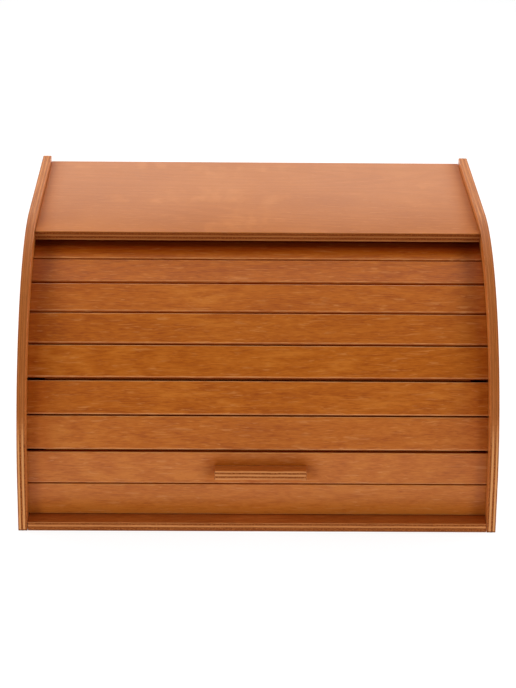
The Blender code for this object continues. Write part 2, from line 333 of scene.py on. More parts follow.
@dataclass(frozen=True)
class Grime:
    """Painted shade on the slat around the handle, where the handle keeps the light off it."""

    x: float
    z: float
    half_length: float
    half_height: float
    reach: float = 14.0 * MM
    squeeze: float = 1.5
    strength: float = 0.24

    @classmethod
    def around_handle(cls) -> "Grime":
        """Place it by the handle's box.

        Returns:
            The grime.
        """
        low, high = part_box("handle")
        middle, size = (low + high) / 2, high - low
        return cls(middle.x, middle.z, size.x / 2, size.z / 2)

    def beyond(self, graph: Graph, place: NodeSocket, middle: float, half: float) -> NodeSocket:
        """Work out how far a place is past the handle along one axis, 0 beside it."""
        off_middle = graph.math("ABSOLUTE", graph.math("SUBTRACT", place, middle))
        return graph.math("MAXIMUM", graph.math("SUBTRACT", off_middle, half), 0.0)

    def share(self, graph: Graph) -> NodeSocket:
        """Work out how dark the wood is at a place.

        Args:
            graph: The material's nodes.

        Returns:
            The share of the dark tone.
        """
        across = self.beyond(graph, graph.spot["X"], self.x, self.half_length)
        up = graph.times(self.beyond(graph, graph.spot["Z"], self.z, self.half_height), self.squeeze)
        squares = graph.math("MULTIPLY_ADD", across, across, graph.times(up, up))
        # Painted shade, strongest beside the handle and fading over its reach.
        return graph.between(graph.math("SQRT", squares), 0.0, self.reach, self.strength, 0.0)


@dataclass(frozen=True)
class Shade:
    """Painted shade, dark and dull, at a board's ends by the side panels, under the shelf and by the
    handle.

    At the ends it rises over its reach up to where it starts and over the run out past that,
    and it fades below. The tint is what is left of the stain's deep tone.
    """

    ends: float
    shift: float
    under_shelf: float = 0.0
    dulling: float = 2.2
    tint: Colour = (0.54, 0.10, 0.05)
    start: float = 163.5 * MM
    reach: float = 22.0 * MM
    run_out: float = 4.0 * MM
    smudge: float = 8.0 * MM
    rise: Span = (10.0 * MM, 90.0 * MM)
    shelf_rise: Span = (169.1 * MM, 173.5 * MM)
    grime: Grime | None = None

    def share(self, graph: Graph, clouds: NodeSocket) -> NodeSocket:
        """Work out how dark the wood is at a place.

        Args:
            graph: The material's nodes.
            clouds: The noise that smudges its limit.

        Returns:
            The share of the dark tone.
        """
        off_centre = graph.math("ABSOLUTE", graph.math("SUBTRACT", graph.spot["X"], self.shift))
        smudged = graph.math("MULTIPLY_ADD", clouds, self.smudge, off_centre)
        ends = graph.between(smudged, self.start - self.reach, self.start + self.run_out)
        ends = graph.times(graph.times(ends, graph.between(graph.spot["Z"], *self.rise)), self.ends)
        under = graph.between(graph.spot["Z"], *self.shelf_rise, 0.0, self.under_shelf)
        share = graph.math("MAXIMUM", ends, under)
        return graph.math("MAXIMUM", share, self.grime.share(graph)) if self.grime else share


@dataclass(frozen=True)
class Grain:
    """The noises that the tone, the sheen and the relief of one face share."""

    bent: NodeSocket
    clouds: NodeSocket
    streaks: NodeSocket
    fibres: NodeSocket


@dataclass(frozen=True)
class FaceFinish:
    """Stained and lacquered face grain, of a veneer or of solid timber.

    Each noise is followed by the span that it is cut off at, where it has one, and by how
    strongly it shows. The fields past them set a board's paleness, and paint light and shade onto
    its parts by where they lie.
    """

    name: str
    stain: Stain
    tones: Span = (0.20, 0.80)
    roughness: float = 0.40
    gloss: float = 0.34
    relief: float = 0.8
    relief_depth: float = 0.06 * MM
    bend: Noise = Noise((7.0, 9.0, 9.0), 1.0)
    bend_reach: Triple = (0.030, 0.007, 0.005)
    clouds: Noise = Noise((6.0, 22.0, 22.0), 2.0, 0.55)
    cloud: float = 0.24
    streaks: Noise = Noise((58.0, 520.0, 520.0), 3.0, 0.55, 0.6)
    streak: float = 0.42
    fibres: Noise = Noise((150.0, 1050.0, 1050.0), 2.0, 0.55, 0.4)
    fibre: float = 0.85
    contours: Noise = Noise((2.6, 11.0, 4.0), 1.0, 0.4)
    rings: float = 150.0
    figure: float = 0.12
    curls: Noise = Noise((45.0, 190.0, 60.0), 1.0, turn=math.radians(24.0))
    curl_span: Span = (0.40, 0.72)
    patches: Noise = Noise((9.0, 24.0, 24.0), 1.0)
    patch_span: Span = (0.50, 0.68)
    curl: float = 0.28
    dashes: Noise = Noise((230.0, 1500.0, 1100.0), 1.0, 0.4)
    dash_span: Span = (0.63, 0.74)
    dark_flecks: float = 0.36
    fleck_depth: float = 1.4
    fleck_dullness: float = 0.4
    rays: Noise = Noise((75.0, 700.0, 700.0), 2.0, 0.5, 0.8, math.radians(1.5))
    ray_span: Span = (0.59, 0.69)
    light_flecks: float = 0.50
    rub_and_highlight_noise: Noise = Noise((90.0, 90.0, 90.0), 2.0, 0.6)
    rub_span: Span = (0.30, 0.62)
    rub: Span = (0.35, 0.95)
    paleness: float = 0.30
    front_painted_shade: float = 0.0
    faded_gloss: float = 0.85
    fade_span: Span = (-60.0 * MM, 150.0 * MM)
    foot_lift: float = 0.0
    foot_span: Span = (7.0 * MM, 17.0 * MM)
    ledge_painted_light: float = 0.0
    ledge_reach: float = 164.0 * MM
    ledge_floor: float = 184.8 * MM
    gap_shade_depth: float = 0.0
    gap_shade_tint: Colour = (1.25, 0.80, 0.50)
    shade: Shade | None = None

    def grain(self, graph: Graph) -> Grain:
        """Read the noises that run along the grain."""
        bent = graph.bent(graph.timber, self.bend, self.bend_reach)
        return Grain(bent, *(graph.noise(bent, kind) for kind in (self.clouds, self.streaks, self.fibres)))

    def tone(self, graph: Graph, grain: Grain) -> NodeSocket:
        """Work out how pale the wood is by its grain and by the board that it is in.

        Args:
            graph: The material's nodes.
            grain: The noises along the grain.

        Returns:
            The tone, from 0 to 1.
        """
        rings = graph.math("SINE", graph.times(graph.noise(grain.bent, self.contours), self.rings))
        patches = graph.between(graph.noise(graph.timber, self.patches), *self.patch_span)
        curls = graph.between(graph.noise(grain.bent, self.curls), *self.curl_span)
        tone = graph.swing(
            (
                (grain.clouds, self.cloud),
                (grain.streaks, self.streak),
                (grain.fibres, self.fibre),
                (graph.math("MULTIPLY_ADD", rings, 0.5, 0.5), self.figure),
                (graph.attribute(Layer.PALENESS), self.paleness),
            )
        )
        return graph.math("MULTIPLY_ADD", graph.times(curls, patches), self.curl, tone)

    def with_painted_light(self, graph: Graph, tone: NodeSocket) -> NodeSocket:
        """Paint light along the shutter's foot and on the ledge above the shelf, lightening the shade
        there.

        Args:
            graph: The material's nodes.
            tone: The tone so far.

        Returns:
            The tone.
        """
        # Painted light along the shutter's foot.
        if self.foot_lift:
            lift = graph.between(graph.spot["Z"], *self.foot_span, self.foot_lift, 0.0)
            tone = graph.math("ADD", lift, tone)
        # Painted light on the panels' inner faces above the shelf.
        if self.ledge_painted_light:
            inner = graph.math("LESS_THAN", graph.math("ABSOLUTE", graph.spot["X"]), self.ledge_reach)
            above = graph.math("GREATER_THAN", graph.spot["Z"], self.ledge_floor)
            tone = graph.math("MULTIPLY_ADD", graph.times(inner, above), self.ledge_painted_light, tone)
        return tone

    def material(self) -> Material:
        """Build the finish.

        Returns:
            Its material.
        """
        graph = Graph.of_material(self.name)
        grain = self.grain(graph)
        tone = self.tone(graph, grain)
        gloss: object = self.gloss
        # Painted shade: the wood darkens towards the front, and its gloss fades there too.
        if self.front_painted_shade:
            fade = graph.between(graph.spot["Y"], *self.fade_span, 1.0, 0.0)
            tone = graph.math("MULTIPLY_ADD", fade, -self.front_painted_shade, tone)
            gloss = graph.math("MULTIPLY_ADD", fade, -self.faded_gloss * self.gloss, self.gloss)
        colour = graph.ramp(self.with_painted_light(graph, tone), self.stain.stops(*self.tones))

        dark = graph.between(graph.noise(graph.timber, self.dashes), *self.dash_span)
        light = graph.between(graph.noise(grain.bent, self.rays), *self.ray_span)
        colour = graph.blend(graph.times(dark, self.dark_flecks), colour, self.stain.deep)
        colour = graph.blend(graph.times(light, self.light_flecks), colour, self.stain.fleck)
        # Rubbed arrises, made lighter also as a painted highlight along them.
        rub = graph.between(graph.noise(graph.timber, self.rub_and_highlight_noise), *self.rub_span, *self.rub)
        worn_and_lit = graph.times(graph.attribute(Layer.WEAR), rub)
        colour = graph.blend(worn_and_lit, colour, self.stain.rubbed)

        # Painted shade in the gaps between the slats, deeper in than the arris, with less gloss there.
        if self.gap_shade_depth:
            gap_shade = graph.between(graph.split(graph.timber)["Z"], self.gap_shade_depth, 3 * self.gap_shade_depth)
            colour = graph.blend(gap_shade, colour, self.stain.deeper(self.gap_shade_tint))
            gloss = graph.times(gloss, graph.math("SUBTRACT", 1.0, gap_shade))
        # Painted shade: darker and less glossy where the shade falls.
        if self.shade:
            shade = self.shade.share(graph, grain.clouds)
            colour = graph.blend(shade, colour, self.stain.deeper(self.shade.tint))
            dull = graph.math("MINIMUM", graph.times(shade, self.shade.dulling), 1.0)
            gloss = graph.times(gloss, graph.math("SUBTRACT", 1.0, dull))

        graph.shader.inputs["Specular IOR Level"].default_value = self.gloss
        sunk = -self.fleck_depth * self.dark_flecks
        dull_fleck = self.fleck_dullness * self.dark_flecks
        height = graph.swing(((grain.fibres, 0.5), (grain.streaks, 0.3), (dark, sunk), (light, 0.15)))
        sheen = ((grain.streaks, 0.10), (grain.fibres, 0.08), (dark, dull_fleck), (worn_and_lit, -0.06))
        return graph.finish(
            Base_Color=colour,
            Roughness=graph.swing(sheen, self.roughness),
            Specular_IOR_Level=gloss,
            Normal=graph.bump(height, self.relief_depth, self.relief),
        )


@dataclass(frozen=True)
class Plies:
    """Where a five-ply board's glue seams lie, as shares of its thickness from its outer face."""

    seams: tuple[float, float, float, float] = (0.115, 0.37, 0.63, 0.885)
    blur: float = 0.012

    def cross_stops(self) -> list[tuple[float, Colour]]:
        """List the ramp's stops that set the two cross plies apart.

        Returns:
            The stops, white in the cross plies and black in the others.
        """
        stops = []
        for number, seam in enumerate(self.seams):
            before, after = (BLACK, WHITE) if number % 2 == 0 else (WHITE, BLACK)
            stops += [(seam - self.blur, before), (seam + self.blur, after)]
        return stops

    def seam_stops(self) -> list[tuple[float, Colour]]:
        """List the ramp's stops that set the glue seams apart.

        Returns:
            The stops, white along the seams and black between them.
        """
        reach = 2 * self.blur
        stops = []
        for seam in self.seams:
            stops += [(seam - reach, BLACK), (seam, WHITE), (seam + reach, BLACK)]
        return stops


SIDE_PLIES = Plies((0.10, 0.33, 0.53, 0.78))
SHELF_PLIES = Plies((0.10, 0.37, 0.56, 0.80))
BASE_PLIES = Plies((0.12, 0.49, 0.72, 0.94))
HANDLE_PLIES = Plies((0.20, 0.35, 0.60, 0.77))


@dataclass(frozen=True)
class PlyEdgeFinish:
    """The sawn edge of plywood: plies of long grain and of end grain, with glue between them.

    A painted contact shadow gives the sawn foot the glue's dark tone, up to the height that its span gives.
    """

    name: str
    stain: Stain
    plies: Plies
    thickness: float = 6.5 * MM
    cross_darkness: float = 0.80
    foot: Span = (0.4 * MM, 1.3 * MM)
    foot_darkness: float = 0.65
    end_tone: Colour = (0.19, 0.036, 0.003)
    glue_tone: Colour = (0.10, 0.018, 0.002)
    tones: Span = (0.22, 0.78)
    roughness: float = 0.50
    gloss: float = 0.08
    rub: float = 0.65
    relief: float = 0.8
    relief_depth: float = 0.10 * MM
    ripple: Noise = Noise((150.0, 150.0, 0.0), 2.0, 0.6)
    ripple_reach: float = 0.05
    lines: Noise = Noise((40.0, 40.0, 1500.0), 2.0, 0.6)
    patches: Noise = Noise((22.0, 22.0, 760.0), 2.0, 0.55)
    patch_span: Span = (0.35, 0.75)
    patch: float = 0.30
    pores: Noise = Noise((900.0, 900.0, 1400.0), 2.0, 0.6)
    pore_span: Span = (0.40, 0.66)
    cross_span: Span = (0.20, 0.80)
    breaks: Noise = Noise((70.0, 70.0, 70.0))
    break_span: Span = (0.3, 0.6)
    seam_strength: Span = (0.25, 0.80)

    def cross_share(self, graph: Graph, share: NodeSocket) -> NodeSocket:
        """Work out how much end grain shows in the ply at a depth.

        Args:
            graph: The material's nodes.
            share: The depth as a share of the thickness.

        Returns:
            The share of end grain.
        """
        faced = graph.attribute(Layer.END_GRAIN)
        crossed = graph.math("SQRT", graph.math("SUBTRACT", 1.0, graph.times(faced, faced)))
        crossed = graph.times(crossed, self.cross_darkness)
        cross = graph.ramp(share, self.plies.cross_stops())
        ends = graph.add("Mix", {0: cross, 2: faced, 3: crossed}, data_type="FLOAT").outputs[0]
        return graph.between(ends, *self.cross_span)

    def material(self) -> Material:
        """Build the finish.

        Returns:
            Its material.
        """
        graph = Graph.of_material(self.name)
        depth = graph.times(graph.split(graph.timber)["Z"], 1 / self.thickness)
        share = graph.swing(((graph.noise(graph.timber, self.ripple), self.ripple_reach),), depth)
        lines, patches, pores = (
            graph.noise(graph.timber, kind) for kind in (self.lines, self.patches, self.pores)
        )
        tone = graph.swing(((lines, 0.50), (patches, 0.55), (graph.attribute(Layer.PALENESS), 0.70)))
        long_grain = graph.ramp(tone, self.stain.stops(*self.tones))
        open_pores = graph.between(pores, *self.pore_span)
        end_grain = graph.blend(open_pores, self.end_tone, self.stain.deep)
        paler = graph.between(patches, *self.patch_span, 0.0, self.patch)
        end_grain = graph.blend(paler, end_grain, self.stain.deep)
        colour = graph.blend(self.cross_share(graph, share), long_grain, end_grain)

        seams = graph.ramp(share, self.plies.seam_stops())
        breaks = graph.noise(graph.timber, self.breaks)
        unbroken = graph.between(breaks, *self.break_span, *self.seam_strength)
        colour = graph.blend(graph.times(seams, unbroken), colour, self.glue_tone)
        # Rubbed arrises, made lighter also as a painted highlight along them.
        colour = graph.blend(graph.times(graph.attribute(Layer.WEAR), self.rub), colour, self.stain.rubbed)
        # Painted contact shadow along the foot.
        foot = graph.between(graph.spot["Z"], *self.foot, self.foot_darkness, 0.0)
        return graph.finish(
            Base_Color=graph.blend(foot, colour, self.glue_tone),
            Roughness=graph.swing(((pores, 0.16), (lines, 0.10)), self.roughness),
            Specular_IOR_Level=self.gloss,
            Normal=graph.bump(
                graph.swing(((pores, 0.5), (lines, 0.4), (seams, -0.6))), self.relief_depth, self.relief
            ),
        )


@dataclass(frozen=True)
class SteelFinish:
    """Bright drawn steel, a little stained where the lacquer runs over it."""

    name: str
    bright: Colour = (0.62, 0.60, 0.57)
    dull: Colour = (0.36, 0.30, 0.25)
    roughness: float = 0.38
    patches: Noise = Noise((900.0, 900.0, 900.0), 3.0, 0.6)
    scratches: Noise = Noise((700.0, 6000.0, 6000.0), 2.0, 0.6)
    scratch_depth: float = 0.01 * MM

    def material(self) -> Material:
        """Build the finish.

        Returns:
            Its material.
        """
        graph = Graph.of_material(self.name)
        patches, scratches = (graph.noise(graph.here, kind) for kind in (self.patches, self.scratches))
        tone = graph.swing(((patches, 1.2), (scratches, 0.3)))
        return graph.finish(
            Base_Color=graph.ramp(tone, ((0.3, self.dull), (0.6, self.bright))),
            Metallic=1.0,
            Roughness=graph.swing(((patches, 0.25), (scratches, 0.12)), self.roughness),
            Normal=graph.bump(scratches, self.scratch_depth, 0.5),
        )


@dataclass(frozen=True)
class CanvasFinish:
    """Plain woven cotton canvas, stiff with glue and tinted by the stain."""

    name: str
    thread: Colour = (0.40, 0.092, 0.010)
    hollow: Colour = (0.14, 0.028, 0.002)
    pitch: float = 1.1 * MM
    roundness: float = 0.6
    relief: float = 0.9
    relief_depth: float = 0.25 * MM
    roughness: float = 0.9
    sheen: float = 0.05
    gloss: float = 0.1
    bend: Noise = Noise((60.0, 60.0, 60.0), 1.0)
    bend_reach: Triple = (0.4 * MM, 0.4 * MM, 0.0)
    slubs: Noise = Noise((60.0, 900.0, 60.0), 2.0, 0.6)
    stains: Noise = Noise((14.0, 18.0, 14.0), 3.0, 0.55)

    def material(self) -> Material:
        """Build the finish.

        Returns:
            Its material.
        """
        graph = Graph.of_material(self.name)
        woven = graph.split(graph.bent(graph.timber, self.bend, self.bend_reach))
        turns = math.pi / self.pitch
        warp, weft = (
            graph.math("ABSOLUTE", graph.math("SINE", graph.times(woven[axis], turns))) for axis in "XY"
        )
        weave = graph.math("POWER", graph.times(warp, weft), self.roundness)
        slubs, stains = (graph.noise(graph.timber, kind) for kind in (self.slubs, self.stains))
        tone = graph.swing(((weave, 0.9), (slubs, 0.35), (stains, 0.4)))
        height = graph.swing(((weave, 1.0), (slubs, 0.3)))
        return graph.finish(
            Base_Color=graph.ramp(tone, ((0.15, self.hollow), (0.85, self.thread))),
            Roughness=graph.swing(((stains, 0.12),), self.roughness),
            Sheen_Weight=self.sheen,
            Specular_IOR_Level=self.gloss,
            Normal=graph.bump(height, self.relief_depth, self.relief),
        )


SLAT_STAIN = Stain(
    deep=(0.335, 0.069, 0.005),
    middle=(0.463, 0.115, 0.008),
    pale=(0.555, 0.163, 0.018),
    rubbed=(0.69, 0.31, 0.11),
)
SIDE_STAIN = Stain(
    deep=(0.33, 0.070, 0.008),
    middle=(0.47, 0.120, 0.017),
    pale=(0.58, 0.185, 0.040),
    rubbed=(0.66, 0.26, 0.08),
)
SHELF_STAIN = Stain(
    deep=(0.40, 0.112, 0.015),
    middle=(0.485, 0.150, 0.026),
    pale=(0.565, 0.198, 0.048),
    rubbed=(0.62, 0.24, 0.08),
)
# A darker copy of the board stain, which also paints the shade on the base's top strip.
INSIDE_STAIN = Stain(
    deep=(0.28, 0.052, 0.005),
    middle=(0.40, 0.092, 0.010),
    pale=(0.50, 0.145, 0.026),
    rubbed=(0.60, 0.22, 0.06),
)
# A darker stain, which also paints the shade on the handle's top face.
HANDLE_STAIN = Stain(
    deep=(0.26, 0.050, 0.005),
    middle=(0.38, 0.088, 0.010),
    pale=(0.48, 0.140, 0.025),
    rubbed=(0.60, 0.23, 0.07),
)
EDGE_STAIN = Stain(
    deep=(0.31, 0.080, 0.012),
    middle=(0.41, 0.135, 0.032),
    pale=(0.50, 0.190, 0.055),
    rubbed=(0.56, 0.22, 0.07),
)
BRIGHT_EDGE_STAIN = Stain(
    deep=(0.42, 0.125, 0.026),
    middle=(0.58, 0.215, 0.065),
    pale=(0.68, 0.290, 0.100),
    rubbed=(0.70, 0.30, 0.11),
)


@dataclass(frozen=True)
class Finishes:
    """Every finish of the box."""

    slat: Material
    side: Material
    shelf: Material
    inside: Material
    handle: Material
    shelf_edge: Material
    base_edge: Material
    side_edge: Material
    handle_edge: Material
    steel: Material
    canvas: Material

    @classmethod
    def made(cls) -> "Finishes":
        """Build every material once.

        Returns:
            The finishes.
        """
        slat = FaceFinish(
            "stained_slat",
            SLAT_STAIN,
            # Painted shade in the gaps between the slats.
            gap_shade_depth=0.8 * MM,
            # Painted light along the shutter's foot.
            foot_lift=0.22,
            # Painted shade at the slat ends, under the shelf and around the handle.
            shade=Shade(0.24, 2.5 * MM, under_shelf=0.68, grime=Grime.around_handle()),
        )
        shelf = FaceFinish(
            "stained_shelf_veneer",
            SHELF_STAIN,
            roughness=0.33,
            gloss=0.19,
            clouds=Noise((15.0, 9.0, 15.0), 2.0, 0.55),
            cloud=0.58,
            streak=0.12,
            fibre=0.30,
            dark_flecks=0.22,
            light_flecks=0.42,
            figure=0.08,
            curls=Noise((95.0, 34.0, 60.0), 1.0, turn=math.radians(24.0)),
            curl=0.20,
            relief=0.12,
            # Painted shade towards the shelf's front.
            front_painted_shade=0.20,
            # Painted shade along the shelf's ends by the side panels.
            shade=Shade(0.14, -1.5 * MM, dulling=5.5, reach=13.0 * MM),
        )
        side_edge = PlyEdgeFinish(
            "stained_side_edge",
            BRIGHT_EDGE_STAIN,
            SIDE_PLIES,
            cross_darkness=0.30,
            # Painted contact shadow along the panels' foot.
            foot=(0.5 * MM, 1.9 * MM),
            foot_darkness=0.75,
        )
        # The side veneer paints light on the panels' inner faces above the shelf.
        side = FaceFinish("stained_side_veneer", SIDE_STAIN, figure=0.10, curl=0.18, ledge_painted_light=0.40)
        inside = FaceFinish("stained_inside_veneer", INSIDE_STAIN, figure=0.08, curl=0.18)
        shelf_edge = PlyEdgeFinish("stained_shelf_edge", EDGE_STAIN, SHELF_PLIES, cross_darkness=0.92)
        base_edge = PlyEdgeFinish("stained_base_edge", BRIGHT_EDGE_STAIN, BASE_PLIES)
        handle_edge = PlyEdgeFinish("stained_handle_edge", BRIGHT_EDGE_STAIN, HANDLE_PLIES, 6.85 * MM)
        return cls(
            slat=slat.material(),
            side=side.material(),
            shelf=shelf.material(),
            inside=inside.material(),
            handle=FaceFinish("stained_handle_veneer", HANDLE_STAIN).material(),
            shelf_edge=shelf_edge.material(),
            base_edge=base_edge.material(),
            side_edge=side_edge.material(),
            handle_edge=handle_edge.material(),
            steel=SteelFinish("bright_steel").material(),
            canvas=CanvasFinish("cotton_canvas").material(),
        )


def placement(*columns: Sequence[float]) -> Matrix:
    """Place something by the directions of its X, Y and Z and by its origin.

    Args:
        columns: The three directions, then the origin.

    Returns:
        The placement.
    """
    matrix = Matrix.Identity(4)
    for number, column in enumerate(columns):
        matrix.col[number][:3] = column
    return matrix


def extents(node: str, place: Matrix) -> tuple[Vector, Vector]:
    """A node's lowest and highest corners in another placement's axes.

    Args:
        node: The node's name.
        place: The placement.

    Returns:
        The two corners.
    """
    back = place.inverted()
    corners = np.array([back @ vertex.co for vertex in frame["nodes"][node].data.vertices])
    return Vector(corners.min(0)), Vector(corners.max(0))


def nodes_with(words: str) -> list[str]:
    """The frame's nodes whose names hold these words, in order."""
    return sorted(node for node in frame["nodes"] if words in node)


@dataclass(frozen=True)
class Track:
    """The circle that the shutter runs on, with angles up from its front."""

    y: float
    z: float

    @classmethod
    def from_frame(cls) -> "Track":
        """Read the circle's centre from the shutter's joint."""
        _, y, z = frame["joints"][0]["pos_m"]
        return cls(y, z)

    def angle_of(self, node: str) -> float:
        """Find the angle of a node's middle.

        Args:
            node: The node's name.

        Returns:
            The angle.
        """
        low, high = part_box(node)
        middle = (low + high) / 2
        return math.atan2(middle.z - self.z, self.y - middle.y)

    def point(self, x: float, radius: float, angle: float) -> Triple:
        """A place by its X, its distance from the centre and its angle."""
        return (x, self.y - radius * math.cos(angle), self.z + radius * math.sin(angle))

    def axes(self, node: str) -> Matrix:
        """Find the directions at a node's angle on the track.

        Args:
            node: The node's name.

        Returns:
            A placement at the centre: X across the box, Y up the track, Z in to the centre.
        """
        angle = self.angle_of(node)
        up = (0.0, math.sin(angle), math.cos(angle))
        inward = (0.0, math.cos(angle), -math.sin(angle))
        return placement((1.0, 0.0, 0.0), up, inward, (0.0, self.y, self.z))


def pin_seat(node: str) -> tuple[Matrix, float, float]:
    """Find where a panel pin stands in its side panel.

    Args:
        node: The pin's node.

    Returns:
        A placement at its head with Z out of the box, its head's radius, and its length.
    """
    low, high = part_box(node)
    side = Side.LEFT if low.x < 0 else Side.RIGHT
    head = (low.x if side is Side.LEFT else high.x, (low.y + high.y) / 2, (low.z + high.z) / 2)
    across = Matrix.Rotation(side.value * QUARTER_TURN, 4, "Y")
    return Matrix.Translation(head) @ across, (high.y - low.y) / 2, high.x - low.x


def add_object(name: str, data: ID) -> Object:
    """Add a mesh, a light or a camera to the scene.

    Args:
        name: The new object's name.
        data: What it shows.

    Returns:
        The new object.
    """
    added = bpy.data.objects.new(name, data)
    bpy.context.scene.collection.objects.link(added)
    return added


def new_piece(name: str, mesh: Mesh, body: str, node: str) -> Object:
    """Add a mesh to the scene as a piece that stands for its node.

    Args:
        name: The piece's name.
        mesh: Its mesh, in the frame's axes.
        body: The body that it rides on.
        node: The node that it stands for.

    Returns:
        The new piece.
    """
    piece = add_object(name, mesh)
    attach(piece, body)
    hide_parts(node)
    LOG.info("%s: %d faces, on %s", name, len(mesh.polygons), body)
    return piece


def faces_with(piece: Object, *layers: Layer) -> Iterable[tuple]:
    """Go through a piece's faces, each with its numbers in these attributes."""
    return zip(piece.data.polygons, *(piece.data.attributes[layer.value].data for layer in layers))


def write_layer(mesh: Mesh, layer: Layer, values: np.ndarray) -> None:
    """Write one of a mesh's attributes.

    Args:
        mesh: The mesh.
        layer: The attribute.
        values: A vector for each vertex, or a number for each face.
    """
    of_points = values.ndim == 2
    kind, domain, key = ("FLOAT_VECTOR", "POINT", "vector") if of_points else ("FLOAT", "FACE", "value")
    attribute = mesh.attributes.new(layer.value, kind, domain)
    attribute.data.foreach_set(key, values.astype(np.float32).ravel())


def ring(place: Matrix, radii: Sequence[float], height: float) -> np.ndarray:
    """Set a ring of points around an axis.

    Args:
        place: Where the axis stands: its Z is the axis.
        radii: How far each point is from it, from the placement's X round.
        height: How far along the axis they are.

    Returns:
        The points, in the frame's axes.
    """
    points = []
    for number, radius in enumerate(radii):
        angle = FULL_TURN * number / len(radii)
        points.append(place @ Vector((radius * math.cos(angle), radius * math.sin(angle), height)))
    return np.array(points)


def skin(name: str, rings: Sequence[np.ndarray]) -> Mesh:
    """Join closed rings of points into one closed mesh.

    Args:
        name: The mesh's name.
        rings: The rings, each with as many points as the others.

    Returns:
        The mesh, with its doubled points welded and its faces turned outwards.
    """
    count = len(rings[0])
    faces = [
        (k * count + i, k * count + (i + 1) % count, (k + 1) * count + (i + 1) % count, (k + 1) * count + i)
        for k in range(len(rings) - 1)
        for i in range(count)
    ]
    last = (len(rings) - 1) * count
    faces.append(tuple(reversed(range(count))))
    faces.append(tuple(range(last, last + count)))
    mesh = bpy.data.meshes.new(name)
    mesh.from_pydata(np.concatenate(rings).tolist(), [], faces)
    shape = bmesh.new()
    shape.from_mesh(mesh)
    bmesh.ops.remove_doubles(shape, verts=shape.verts, dist=WELD)
    bmesh.ops.recalc_face_normals(shape, faces=shape.faces)
    shape.to_mesh(mesh)
    shape.free()
    return mesh


def turned(name: str, profile: Points, place: Matrix, sides: int) -> Mesh:
    """Turn a profile of radii and heights about a placement's Z, with none on the axis."""
    return skin(name, [ring(place, [radius] * sides, height) for radius, height in profile])


def smooth(mesh: Mesh, sharp: float = math.radians(32.0)) -> None:
    """Shade a mesh smooth, apart from its sharp edges."""
    mesh.shade_smooth()
    mesh.set_sharp_from_angle(angle=sharp)


def carve(piece: Object, cutters: Sequence[Object]) -> None:
    """Cut shapes out of a piece for good, and remove the cutters.

    Args:
        piece: The piece.
        cutters: Closed shapes in the frame's axes.
    """
    for cutter in cutters:
        boolean = piece.modifiers.new("cut", "BOOLEAN")
        boolean.operation = "DIFFERENCE"
        boolean.solver = "EXACT"
        boolean.object = cutter
    bpy.context.view_layer.update()
    graph = bpy.context.evaluated_depsgraph_get()
    carved = bpy.data.meshes.new_from_object(piece.evaluated_get(graph))
    carved.name = piece.data.name
    piece.modifiers.clear()
    piece.data = carved
    for cutter in cutters:
        bpy.data.objects.remove(cutter)


def wobble(place: Vector, scale: float) -> float:
    """Steady noise between 0 and 1 at a place, of so many waves per metre."""
    return min(1.0, max(0.0, 0.5 + 0.7 * noise.noise(place * scale)))


